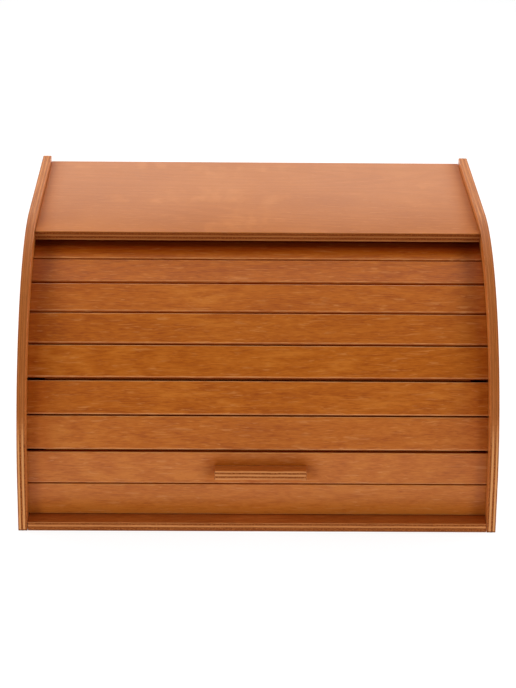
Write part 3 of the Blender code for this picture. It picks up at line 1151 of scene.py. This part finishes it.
@dataclass
class Board:
    """A flat board with sanded edges, sawn from its own place in the timber.

    Its place has X along the face grain, Y across it and Z from the outer face inwards, with
    the origin at the outer face's corner. The radii of its corners go round from the origin's.
    Each board is cut from another place in the timber, so that no two show the same grain.
    """

    name: str
    body: str
    slot: str
    node: str
    place: Matrix
    size: Vector
    face: Material
    edge: Material
    arris: float
    corners: tuple[float, float, float, float]
    cut_from: int
    plies: Plies | None = Plies()
    paleness: float = 0.5
    wear: float = 0.4
    spacing: float = 5 * MM
    arc_step: float = math.radians(1.5)
    full_arc: float = 20 * MM
    least_steps: int = 4
    margin: float = 0.3 * MM
    arris_steps: int = 4
    hollow: float = 0.05 * MM
    seam: float = 0.07 * MM
    uneven: float = 0.05 * MM
    uneven_waves: float = 140.0
    arris_swing: float = 0.45
    arris_waves: float = 85.0
    rubbed_depth: float = 1.2
    face_facing: float = 0.6
    cut_step: Triple = (1.7, 0.9, 0.0)

    @property
    def timber_place(self) -> Vector:
        """Where in the timber the board was sawn."""
        return Vector([self.cut_from * step for step in self.cut_step])

    def outline(self) -> tuple[np.ndarray, np.ndarray]:
        """Trace the board's rounded outline.

        Returns:
            The points in the board's plane, and the outward direction at each.
        """
        wide, high = self.size.x, self.size.y
        turns = ((0, 0, math.pi), (1, 0, 1.5 * math.pi), (1, 1, 0.0), (0, 1, QUARTER_TURN))
        points: Points = []
        outward: Points = []
        for number, (right, top, start) in enumerate(turns):
            radius = self.corners[number]
            centre = (wide - radius if right else radius, high - radius if top else radius)
            share = min(1.0, radius / self.full_arc)
            steps = max(self.least_steps, math.ceil(QUARTER_TURN / self.arc_step * share))
            for step in range(steps + 1):
                angle = start + QUARTER_TURN * step / steps
                direction = (math.cos(angle), math.sin(angle))
                points.append((centre[0] + radius * direction[0], centre[1] + radius * direction[1]))
                outward.append(direction)
            run = (wide if number % 2 == 0 else high) - radius - self.corners[(number + 1) % 4]
            stops = math.floor(run / self.spacing)
            corner = points[-1]
            for step in range(1, stops):
                along = step / stops * run
                points.append((corner[0] - direction[1] * along, corner[1] + direction[0] * along))
                outward.append(direction)
        return np.array(points), np.array(outward)

    def edge_rings(self) -> list[tuple[float, float, bool]]:
        """List the rings of the edge, from the outer face to the inner one.

        Returns:
            For each ring its depth, how far it is drawn in, and whether it is of an arris.
        """
        half = []
        for step in range(self.arris_steps + 1):
            angle = QUARTER_TURN * step / self.arris_steps
            half.append((self.arris * (1 - math.cos(angle)), self.arris * (1 - math.sin(angle)), True))
        rings = [(0.0, self.arris + self.margin, True), *half]
        seams = self.plies.seams if self.plies else ()
        for number, share in enumerate(seams):
            depth = share * self.size.z
            if 2 * self.seam < depth - self.arris and depth + self.arris + 2 * self.seam < self.size.z:
                before, after = (self.hollow * (n % 2) for n in (number, number + 1))
                rings.append((depth - 2 * self.seam, before, False))
                rings.append((depth, self.hollow + self.seam, False))
                rings.append((depth + 2 * self.seam, after, False))
        rings += [(self.size.z - depth, inset, True) for depth, inset, _ in reversed(half)]
        rings.append((self.size.z, self.arris + self.margin, True))
        return rings

    def mesh(self) -> Mesh:
        """Build the board's shape in the frame's axes.

        Returns:
            The mesh.
        """
        points, outward = self.outline()
        rings = []
        for depth, inset, of_arris in self.edge_rings():
            drawn_in = []
            for (x, y), (nx, ny) in zip(points, outward):
                spot = Vector((x, y, depth)) + self.timber_place
                if of_arris:
                    drawn = inset * (1 + self.arris_swing * (wobble(spot, self.arris_waves) - 0.5))
                else:
                    drawn = inset + self.uneven * wobble(spot, self.uneven_waves)
                drawn = min(drawn, self.arris + self.margin)
                inner_x = min(self.size.x - drawn, max(drawn, x - nx * drawn))
                inner_y = min(self.size.y - drawn, max(drawn, y - ny * drawn))
                drawn_in.append(self.place @ Vector((inner_x, inner_y, depth)))
            rings.append(np.array(drawn_in))
        return skin(self.name, rings)

    def dress(self, piece: Object) -> None:
        """Give the final shape its timber place, end grain, wear with a painted highlight, and finishes.

        Args:
            piece: The board's piece, already cut.
        """
        mesh = piece.data
        back = self.place.inverted()
        turn = np.array(back.to_3x3())
        normals = np.array([face.normal for face in mesh.polygons]) @ turn.T
        facing = np.abs(normals[:, 2])
        depths = np.array([(back @ face.center).z for face in mesh.polygons])
        near = np.minimum(depths, self.size.z - depths) < self.arris * self.rubbed_depth
        # Arrises rubbed and given a painted highlight, most where they face half outwards.
        worn_and_lit = np.where(near, self.wear * 4 * facing**2 * (1 - facing**2), 0.0)
        places = [(back @ vertex.co) + self.timber_place for vertex in mesh.vertices]
        write_layer(mesh, Layer.TIMBER, np.array(places))
        write_layer(mesh, Layer.END_GRAIN, np.abs(normals[:, 0]))
        write_layer(mesh, Layer.WEAR, worn_and_lit)
        write_layer(mesh, Layer.PALENESS, np.full(len(mesh.polygons), self.paleness))
        mesh.materials.clear()
        mesh.materials.append(self.face)
        if self.edge is not self.face:
            mesh.materials.append(self.edge)
            on_edge = ~(near & (facing > self.face_facing))
            mesh.polygons.foreach_set("material_index", on_edge.astype(np.int32))
        smooth(mesh)

    def build(self, cutters: Sequence[Object] = ()) -> Object:
        """Make the board's piece.

        Args:
            cutters: Shapes to cut out of it.

        Returns:
            The piece.
        """
        piece = new_piece(self.name, self.mesh(), self.body, self.node)
        if cutters:
            carve(piece, cutters)
        self.dress(piece)
        return piece


@dataclass
class SidePanels:
    """The two side panels, each with its track groove and the sunk places of its nails.

    The banding and the paleness of the sawn plies change along the front's curve, at places
    from 0 at its foot to 1 at its top. The mouth of a nail's place is given by shares of the
    head's radius, each with a height from the panel's side.
    """

    finishes: Finishes
    track: Track
    arris: float = 0.5 * MM
    corner: float = 2.0 * MM
    foot_corner: float = 0.6 * MM
    spacing: float = 4 * MM
    first_cut: int = 3
    cuts_apart: int = 4
    wear: float = 0.1
    groove_depth: float = 3.2 * MM
    groove_slack: float = 0.4 * MM
    groove_mouth: float = 1 * MM
    groove_start: float = math.radians(-13.4)
    groove_end: float = math.radians(184.0)
    groove_step: float = math.radians(1.5)
    bend_places: tuple[float, ...] = (0.0, 0.08, 0.14, 0.21, 0.55, 0.85, 0.93, 1.0)
    banding: tuple[float, ...] = (1.0, 0.85, 0.65, 0.42, 0.36, 0.42, 0.44, 0.48)
    bend_paleness: tuple[float, ...] = (0.94, 0.92, 0.68, 0.03, 0.03, 0.00, 0.10, 0.36)
    flat_side: float = 0.9
    nail_slack: float = 0.15 * MM
    nail_sink: float = 1.0 * MM
    nail_mouth: tuple[Span, ...] = ((1.12, 1 * MM), (1.08, 0.0), (1.0, -0.3 * MM))
    nail_sides: int = 20

    def groove(self, side: Side) -> Object:
        """Make the shape of the track groove.

        Args:
            side: The side that it is cut into.

        Returns:
            The cutter.
        """
        low, high = extents("slat_01", self.track.axes("slat_01"))
        outer = math.hypot(-low.z, (high.y - low.y) / 2) + self.groove_slack
        inner = -high.z - self.groove_slack
        _, panel_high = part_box("side_panel_left")
        panel_x = abs(panel_high.x)
        sweep = self.groove_end - self.groove_start
        steps = math.ceil(sweep / self.groove_step)
        angles = [self.groove_start + sweep * step / steps for step in range(steps + 1)]
        outline = [(outer, angle) for angle in angles] + [(inner, angle) for angle in reversed(angles)]
        rings = [
            np.array([self.track.point(side.value * x, radius, angle) for radius, angle in outline])
            for x in (panel_x - self.groove_mouth, panel_x + self.groove_depth)
        ]
        return add_object("groove", skin("groove", rings))

    def nail_place(self, node: str) -> Object:
        """Make the sunk place of one nail.

        Args:
            node: The nail's node.

        Returns:
            The cutter.
        """
        place, radius, _ = pin_seat(node)
        head = radius + self.nail_slack
        profile = [(head * share, height) for share, height in self.nail_mouth]
        profile.append((head, -self.nail_sink))
        return add_object("nail_place", turned("nail_place", profile, place, self.nail_sides))

    def build(self) -> None:
        """Make both panels."""
        for number, side in enumerate(Side):
            node = f"side_panel_{side.word}"
            low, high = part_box(node)
            size = high - low
            corner = (high.x if side is Side.RIGHT else low.x, low.y, low.z)
            arc = self.track.y - low.y
            board = Board(
                f"{node}_board",
                "case",
                "side_ply",
                node,
                placement((0.0, 1.0, 0.0), (0.0, 0.0, 1.0), (-side.value, 0.0, 0.0), corner),
                Vector((size.y, size.z, size.x)),
                self.finishes.side,
                self.finishes.side_edge,
                self.arris,
                (self.foot_corner, self.foot_corner, self.corner, arc),
                cut_from=self.first_cut + self.cuts_apart * number,
                wear=self.wear,
                spacing=self.spacing,
            )
            nail_places = [self.nail_place(nail) for nail in nodes_with(f"_pin_{side.word}_")]
            self.band_plies(board.build([self.groove(side), *nail_places]))

    def band_plies(self, piece: Object) -> None:
        """Let the plies stand out at the panel's foot, and darken and fade in the curve above it.

        Args:
            piece: The panel's piece.
        """
        for face, banding, paleness in faces_with(piece, Layer.END_GRAIN, Layer.PALENESS):
            angle = math.atan2(face.center.z - self.track.z, self.track.y - face.center.y)
            place = min(1.0, max(0.0, angle / QUARTER_TURN))
            if abs(face.normal.x) < self.flat_side:
                banding.value = np.interp(place, self.bend_places, self.banding)
                paleness.value = np.interp(place, self.bend_places, self.bend_paleness)


@dataclass
class Boards:
    """The base, the top shelf and the back, let in between the side panels."""

    finishes: Finishes
    arris: float = 0.4 * MM
    corner: float = 0.25 * MM
    closing: float = 0.15 * MM
    wear: float = 0.25
    base_wear: float = 1.0
    first_cut: int = 11
    cuts_apart: int = 3

    def build(self) -> None:
        """Make the three boards."""
        looks = self.finishes
        boards = (
            ("base_board", "board_ply", Facing.DOWN, looks.inside, looks.base_edge, self.base_wear),
            ("top_shelf", "shelf_ply", Facing.UP, looks.shelf, looks.shelf_edge, self.wear),
            ("back_board", "board_ply", Facing.BACK, looks.inside, looks.shelf_edge, self.wear),
        )
        for number, board in enumerate(boards):
            self.board(*board, self.first_cut + self.cuts_apart * number)

    def board(
        self,
        node: str,
        slot: str,
        facing: Facing,
        face: Material,
        edge: Material,
        wear: float,
        cut_from: int,
    ) -> None:
        """Make one board.

        Args:
            node: The node that it stands for.
            slot: The record's slot for its finish; it is not used.
            facing: Where its outer face looks.
            face: The finish of its faces.
            edge: The finish of its edges.
            wear: How much its arrises are rubbed and carry a painted highlight.
            cut_from: Its place in the timber.
        """
        axes = [Vector(axis) for axis in ((1, 0, 0), *facing.value)]
        low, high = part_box(node)
        low.x -= self.closing
        high.x += self.closing
        middle, size = (low + high) / 2, high - low
        measures = Vector([abs(size.dot(axis)) for axis in axes])
        origin = middle - sum((axis * measure / 2 for axis, measure in zip(axes, measures)), Vector())
        Board(
            f"{node}_panel",
            "case",
            slot,
            node,
            placement(*axes, origin),
            measures,
            face,
            edge,
            self.arris,
            (self.corner,) * 4,
            cut_from,
            wear=wear,
        ).build()


@dataclass
class Shutter:
    """The slats, the canvas behind them, and the handle strip.

    Each slat has its own paleness, and its own trims in millimetres off its lower and its upper
    edge, from the foot up. The wear with its painted highlight, and the painted light and shade,
    of its lower arris change with how far a face looks outwards, from 0 at its edge to 1 at its
    outer face.
    """

    finishes: Finishes
    track: Track
    slat_arris: float = 1.0 * MM
    foot_arris: float = 0.55 * MM
    slat_corner: float = 1.3 * MM
    slat_swing: float = 0.6
    slat_wear: float = 0.9
    paleness: tuple[float, ...] = (0.97, 0.80, 0.50, 0.38, 0.50, 0.38, 0.34, 0.14, 0.05, 0.3, 0.2, 0.4)
    trims: tuple[Span, ...] = (
        (-0.20, -0.15), (-0.10, 0.95), (-0.05, 0.25), (-0.30, 0.45), (0.75, -0.30), (0.60, -0.10),
        (0.50, -0.75), (1.75, -0.50), (0.85, 0.00), (0.10, 0.15), (0.00, 0.20), (0.10, 0.00),
    )
    lower_facing: tuple[float, ...] = (0.0, 0.70, 0.90, 1.0)
    lower_wear: tuple[float, ...] = (0.0, 0.10, 0.80, 0.55)
    lower_light_and_shade: tuple[float, ...] = (-1.2, -0.8, 0.4, 0.5)
    arris_limit: float = 0.1
    first_cut: int = 23
    cuts_apart: int = 3
    handle_cut: int = 71
    handle_arris: float = 0.35 * MM
    handle_corner: float = 1.0 * MM
    handle_spacing: float = 1.2 * MM
    handle_uneven: float = 0.10 * MM
    handle_trim: float = 0.45 * MM
    canvas_gap: float = 0.25 * MM
    canvas_thickness: float = 0.45 * MM
    canvas_spacing: float = 4.0 * MM
    canvas_inset: float = 4.5 * MM
    pucker: float = 0.12 * MM
    pucker_waves: float = 60.0
    fray: float = 0.6 * MM
    fray_waves: float = 700.0

    def strip(self, node: str, axes: Matrix) -> tuple[Matrix, Vector]:
        """Find a straight piece in its own axes: its placement, from its lowest corner, and its size."""
        low, high = extents(node, axes)
        return axes @ Matrix.Translation(low), high - low

    def build_slats(self) -> None:
        """Make the slats."""
        for number, node in enumerate(nodes_with("slat_")):
            place, size = self.strip(node, self.track.axes(node))
            below, above = (trim * MM for trim in self.trims[number])
            place = place @ Matrix.Translation((0.0, below, 0.0))
            size.y -= below + above
            piece = Board(
                f"{node}_strip",
                "shutter",
                "slat_wood",
                node,
                place,
                size,
                self.finishes.slat,
                self.finishes.slat,
                self.slat_arris if number else self.foot_arris,
                (self.slat_corner,) * 4,
                cut_from=self.first_cut + self.cuts_apart * number,
                plies=None,
                paleness=self.paleness[number],
                wear=self.slat_wear,
                arris_swing=self.slat_swing,
            ).build()
            self.rub_lower_arris(piece, place)

    def rub_lower_arris(self, piece: Object, place: Matrix) -> None:
        """Give the outer half of a slat's lower arris wear and a painted highlight, and paint shade on its
        inner half, which faces the gap below.

        Args:
            piece: The slat's piece.
            place: Its placement.
        """
        turn = place.inverted().to_3x3()
        # Painted highlight on the outer half of the lower arris, painted shade on the half that faces the
        # gap.
        for face, worn_and_lit, paleness in faces_with(piece, Layer.WEAR, Layer.PALENESS):
            normal = turn @ face.normal
            if max(normal.y, normal.z) < -self.arris_limit:
                worn_and_lit.value = np.interp(-normal.z, self.lower_facing, self.lower_wear)
                paleness.value = np.interp(-normal.z, self.lower_facing, self.lower_light_and_shade)

    def build_handle(self) -> None:
        """Make the handle strip, whose plies lie one above another."""
        across, up, inward, centre = (column.to_3d() for column in self.track.axes("slat_02").col)
        place, size = self.strip("handle", placement(across, -inward, -up, centre))
        place = place @ Matrix.Translation((0.0, 0.0, self.handle_trim))
        size.z -= self.handle_trim
        Board(
            "handle_strip",
            "shutter",
            "handle_ply",
            "handle",
            place,
            size,
            self.finishes.handle,
            self.finishes.handle_edge,
            self.handle_arris,
            (self.handle_corner,) * 4,
            cut_from=self.handle_cut,
            plies=HANDLE_PLIES,
            wear=0.0,
            spacing=self.handle_spacing,
            uneven=self.handle_uneven,
        ).build()

    def canvas_rows(self, flat: float) -> list[tuple[float, float, float]]:
        """Lay the cloth's rows flat on the slats' backs, from its lower edge up.

        Args:
            flat: How far the cloth's middle is from the centre, at the middle of a slat.

        Returns:
            Each row's angle, its distance from the centre, and its place along the cloth.
        """
        angles = [self.track.angle_of(node) for node in nodes_with("slat_")]
        half_pitch = (angles[-1] - angles[0]) / (len(angles) - 1) / 2
        inset = self.canvas_inset / flat
        start, end = angles[0] - half_pitch + inset, angles[-1] + half_pitch - inset
        count = math.ceil((end - start) * flat / self.canvas_spacing)
        rows = []
        length = 0.0
        last = None
        for number in range(count + 1):
            angle = start + (end - start) * number / count
            nearest = min(angles, key=lambda slat: abs(slat - angle))
            radius = flat / math.cos(angle - nearest)
            spot = Vector((0.0, -radius * math.cos(angle), radius * math.sin(angle)))
            length += (spot - last).length if last else 0.0
            last = spot
            rows.append((angle, radius, length))
        return rows

    def canvas_mesh(self, rows: list[tuple[float, float, float]], flat: float) -> Mesh:
        """Build the cloth, puckered where the glue drew it and frayed at both ends.

        Args:
            rows: Each row's angle, its distance from the centre, and its place along the cloth.
            flat: How far the cloth's middle is from the centre, at the middle of a slat.

        Returns:
            The mesh.
        """
        low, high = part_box("canvas_backing")
        columns = math.ceil((high.x - low.x) / self.canvas_spacing)
        last = len(rows) - 1
        vertices, places = [], []
        for row, (angle, radius, length) in enumerate(rows):
            for column in range(columns + 1):
                x = low.x + (high.x - low.x) * column / columns
                flutter = self.pucker * (wobble(Vector((x, length, 3.0)), self.pucker_waves) - 0.5)
                frayed = 0.0
                if row in (0, last):
                    frayed = self.fray / flat * (wobble(Vector((x, row, 8.0)), self.fray_waves) - 0.5)
                vertices.append(self.track.point(x, radius - abs(flutter), angle + frayed))
                places.append((x, length, 0.0))
        wide = columns + 1
        corners = (row * wide + column for row in range(last) for column in range(columns))
        faces = [(corner, corner + 1, corner + wide + 1, corner + wide) for corner in corners]
        mesh = bpy.data.meshes.new("canvas_cloth")
        mesh.from_pydata(vertices, [], faces)
        write_layer(mesh, Layer.TIMBER, np.array(places))
        mesh.materials.append(self.finishes.canvas)
        mesh.shade_smooth()
        return mesh

    def build_canvas(self) -> None:
        nodes = nodes_with("slat_")
        _, back = extents(nodes[0], self.track.axes(nodes[0]))
        flat = -back.z - self.canvas_gap - self.canvas_thickness / 2
        rows = self.canvas_rows(flat)
        mesh = self.canvas_mesh(rows, flat)
        piece = new_piece("canvas_cloth", mesh, "shutter", "canvas_backing")
        thick = piece.modifiers.new("thickness", "SOLIDIFY")
        thick.thickness = self.canvas_thickness
        thick.offset = 0.0

    def build(self) -> None:
        """Make the whole shutter."""
        self.build_slats()
        self.build_handle()
        self.build_canvas()


@dataclass
class Nails:
    """The panel pins: drawn wire with a flat head, driven through the side panels.

    The head is domed by its crown: each crown ring is a share of the head's radius and the
    number of crowns that it lies below the top. The shank's and the top's shares are of the
    head's radius too, and the grip's and the tip's are of the shank's.
    """

    finishes: Finishes
    sides: int = 20
    top_share: float = 0.30
    top_depth: float = 0.02 * MM
    crown: float = 0.12 * MM
    crown_rings: tuple[Span, ...] = ((0.70, 0.4), (0.92, 1.0), (1.0, 2.2))
    head_depth: float = 0.55 * MM
    neck_depth: float = 0.85 * MM
    shank_share: float = 0.58
    grips: int = 3
    grip_start: float = 1.2 * MM
    grip_pitch: float = 0.5 * MM
    grip_width: float = 0.12 * MM
    grip_share: float = 0.93
    tip_share: float = 0.12
    tip_length: float = 1.6 * MM

    def build(self) -> None:
        """Make every nail."""
        for node in nodes_with("_pin_"):
            self.nail(node)

    def nail(self, node: str) -> None:
        """Make one nail.

        Args:
            node: The node that it stands for.
        """
        place, head, length = pin_seat(node)
        shank = head * self.shank_share
        profile = [(head * self.top_share, -self.top_depth)]
        profile += [(head * share, -self.crown * depth) for share, depth in self.crown_rings]
        profile += [(head, -self.head_depth), (shank, -self.neck_depth)]
        for grip in range(self.grips):
            depth = -self.grip_start - grip * self.grip_pitch
            profile += [(shank, depth), (shank * self.grip_share, depth - self.grip_width)]
            profile.append((shank, depth - 2 * self.grip_width))
        profile += [(shank, self.tip_length - length), (shank * self.tip_share, -length)]
        mesh = turned(f"{node}_nail", profile, place, self.sides)
        mesh.materials.append(self.finishes.steel)
        smooth(mesh)
        new_piece(f"{node}_nail", mesh, "case", node)


@dataclass
class Screws:
    """The countersunk wood screws that hold the handle from behind its slat.

    The rings of the cross recess are depths below the head, each with a share of the arm's size.
    """

    finishes: Finishes
    track: Track
    sides: int = 24
    top_share: float = 0.97
    top_depth: float = 0.12 * MM
    shank_share: float = 0.52
    shank_depths: Span = (1.6 * MM, 3.2 * MM)
    thread_start: float = 3.4 * MM
    pitch: float = 1.1 * MM
    steps_per_turn: int = 5
    crest: float = 0.22 * MM
    tip: float = 2.0 * MM
    tip_share: float = 0.08
    recess_reach: float = 1.35 * MM
    recess_width: float = 0.55 * MM
    recess_rings: tuple[Span, ...] = ((-0.5 * MM, 1.05), (0.0, 1.0), (0.9 * MM, 0.35))

    def build(self) -> None:
        """Make both screws."""
        for side in Side:
            self.screw(f"handle_screw_{side.word}")

    def thread(self, depth: float, core: float) -> list[float]:
        """Work out the radii of one ring of the thread, a ridge that winds down around the core."""
        phases = ((depth / self.pitch - number / self.sides) % 1.0 for number in range(self.sides))
        return [core + self.crest * max(0.0, 1 - abs(phase - 0.5) * 4) for phase in phases]

    def screw(self, node: str) -> None:
        """Make one screw.

        Args:
            node: The node that it stands for.
        """
        axes = self.track.axes("slat_02")
        low, high = extents(node, axes)
        middle = (low + high) / 2
        place = axes @ Matrix.Translation((middle.x, middle.y, high.z))
        head = (high.x - low.x) / 2
        length = high.z - low.z
        shank = head * self.shank_share
        plain = [(head * self.top_share, 0.0), (head, self.top_depth)]
        plain += [(shank, depth) for depth in self.shank_depths]
        rings = [ring(place, [radius] * self.sides, -depth) for radius, depth in plain]
        run = length - self.thread_start
        steps = math.ceil(run / self.pitch * self.steps_per_turn)
        for step in range(steps + 1):
            depth = self.thread_start + run * step / steps
            taper = min(1.0, (length - depth) / self.tip) * (1 - self.tip_share) + self.tip_share
            radii = [radius * taper for radius in self.thread(depth, shank - self.crest)]
            rings.append(ring(place, radii, -depth))
        piece = new_piece(f"{node}_threaded", skin(f"{node}_threaded", rings), "shutter", node)
        carve(piece, [self.recess_arm(place, along) for along in (True, False)])
        piece.data.materials.clear()
        piece.data.materials.append(self.finishes.steel)
        smooth(piece.data)

    def recess_arm(self, place: Matrix, along: bool) -> Object:
        """Make the shape of one arm of the cross recess.

        Args:
            place: The screw's placement, with its head at the origin.
            along: True for the arm along the slat.

        Returns:
            The cutter.
        """
        reach, width = self.recess_reach, self.recess_width / 2
        x, y = (reach, width) if along else (width, reach)
        corners = ((-x, -y), (x, -y), (x, y), (-x, y))
        rings = [
            np.array([place @ Vector((cx * share, cy * share, -depth)) for cx, cy in corners])
            for depth, share in self.recess_rings
        ]
        return add_object("recess_arm", skin("recess_arm", rings))


@dataclass(frozen=True)
class SoftBoxPair:
    """Two large soft lights, one at each side, aimed at the box."""

    name: str
    azimuth: float
    elevation: float
    size: Span
    power: float
    distance: float = 1.5
    aim: Triple = (0.0, 0.0, 0.1)

    def hang(self) -> None:
        """Hang both at their angles from the front."""
        for side in Side:
            name = f"{self.name}_{side.word}"
            light = bpy.data.lights.new(name, "AREA")
            light.shape = "RECTANGLE"
            light.size, light.size_y = self.size
            light.energy = self.power
            flat = self.distance * math.cos(self.elevation)
            across = side.value * flat * math.sin(self.azimuth)
            height = self.distance * math.sin(self.elevation)
            away = Vector((across, -flat * math.cos(self.azimuth), height))
            lamp = add_object(name, light)
            lamp.location = Vector(self.aim) + away
            lamp.rotation_mode = "QUATERNION"
            lamp.rotation_quaternion = (-away).to_track_quat("-Z", "Y")


@dataclass
class Studio:
    """A glowing white table, soft boxes at both sides, and the photograph's camera."""

    table_radius: float = 7.0
    table_sides: int = 96
    table_drop: float = 0.2 * MM
    table_glow: float = 0.877
    table_tone: Colour = (0.18, 0.18, 0.18)
    table_grain: Noise = Noise((40.0, 40.0, 40.0))
    table_roughness: float = 0.8
    table_gloss: float = 0.1
    front_glow: float = 0.005
    back_span: Span = (0.25, 0.55)
    low_back_glow: float = 1.28
    low_span: Span = (0.16, 0.34)
    high_back_glow: float = 0.8
    high_span: Span = (0.60, 0.80)
    zenith_glow: float = 0.3
    zenith_span: Span = (0.86, 0.97)
    soft_boxes: tuple[SoftBoxPair, ...] = (
        SoftBoxPair("low_front_box", math.radians(34.0), math.radians(6.0), (0.42, 0.34), 4.0),
        SoftBoxPair("side_box", math.radians(75.0), math.radians(20.0), (0.76, 0.42), 4.0),
        SoftBoxPair("high_side_box", math.radians(96.5), math.radians(38.0), (1.10, 0.53), 10.4),
        SoftBoxPair("high_back_box", math.radians(150.0), math.radians(38.0), (1.36, 0.53), 9.0),
    )
    lens: float = 126.3
    far_limit: float = 50.0
    camera_place: Triple = (-24.68 * MM, -1718.2 * MM, 723.8 * MM)
    camera_azimuth: float = math.radians(0.872)
    camera_elevation: float = math.radians(20.365)
    camera_roll: float = math.radians(0.607)

    def build(self) -> None:
        """Set the whole studio up."""
        self.build_table()
        for pair in self.soft_boxes:
            pair.hang()
        self.build_world()
        self.build_camera()
        bpy.context.scene.view_settings.view_transform = "Standard"

    def build_table(self) -> None:
        """Lay the pale table that the box stands on."""
        graph = Graph.of_material("pale_table")
        grain = graph.noise(graph.here, self.table_grain)
        material = graph.finish(
            Base_Color=self.table_tone,
            Roughness=graph.swing(((grain, 0.05),), self.table_roughness),
            Specular_IOR_Level=self.table_gloss,
            Emission_Color=WHITE,
            Emission_Strength=self.table_glow,
        )
        shape = bmesh.new()
        bmesh.ops.create_circle(shape, cap_ends=True, radius=self.table_radius, segments=self.table_sides)
        mesh = bpy.data.meshes.new("table")
        shape.to_mesh(mesh)
        shape.free()
        mesh.materials.append(material)
        table = add_object("table", mesh)
        table.location.z = -self.table_drop

    def build_world(self) -> None:
        """Surround the studio with a dark front and a back that glows low down and high up."""
        world = bpy.data.worlds.new("studio")
        bpy.context.scene.world = world
        graph = Graph(world)
        direction = graph.split(graph.add("TexCoord").outputs["Generated"])
        behind = graph.between(direction["Y"], *self.back_span)
        low = graph.between(direction["Z"], *self.low_span, self.low_back_glow, 0.0)
        high = graph.between(direction["Z"], *self.high_span, 0.0, self.high_back_glow)
        zenith = graph.between(direction["Z"], *self.zenith_span, 0.0, self.zenith_glow)
        glow = graph.math("ADD", graph.times(behind, graph.math("ADD", low, high)), zenith)
        graph.finish(Strength=graph.math("ADD", glow, self.front_glow), Color=WHITE)

    def build_camera(self) -> None:
        """Stand the camera where the photograph was taken from."""
        camera = bpy.data.cameras.new("camera")
        camera.lens = self.lens
        camera.clip_end = self.far_limit
        view = add_object("camera", camera)
        view.matrix_world = (
            Matrix.Translation(self.camera_place)
            @ Matrix.Rotation(-self.camera_azimuth, 4, "Z")
            @ Matrix.Rotation(QUARTER_TURN - self.camera_elevation, 4, "X")
            @ Matrix.Rotation(self.camera_roll, 4, "Z")
        )
        bpy.context.scene.camera = view


def main() -> None:
    """Dress the whole box and set up its studio."""
    logging.basicConfig(level=logging.INFO, format="%(name)s %(message)s")
    finishes = Finishes.made()
    track = Track.from_frame()
    SidePanels(finishes, track).build()
    Boards(finishes).build()
    Shutter(finishes, track).build()
    Nails(finishes).build()
    Screws(finishes, track).build()
    Studio().build()


if __name__ == "__main__":
    main()
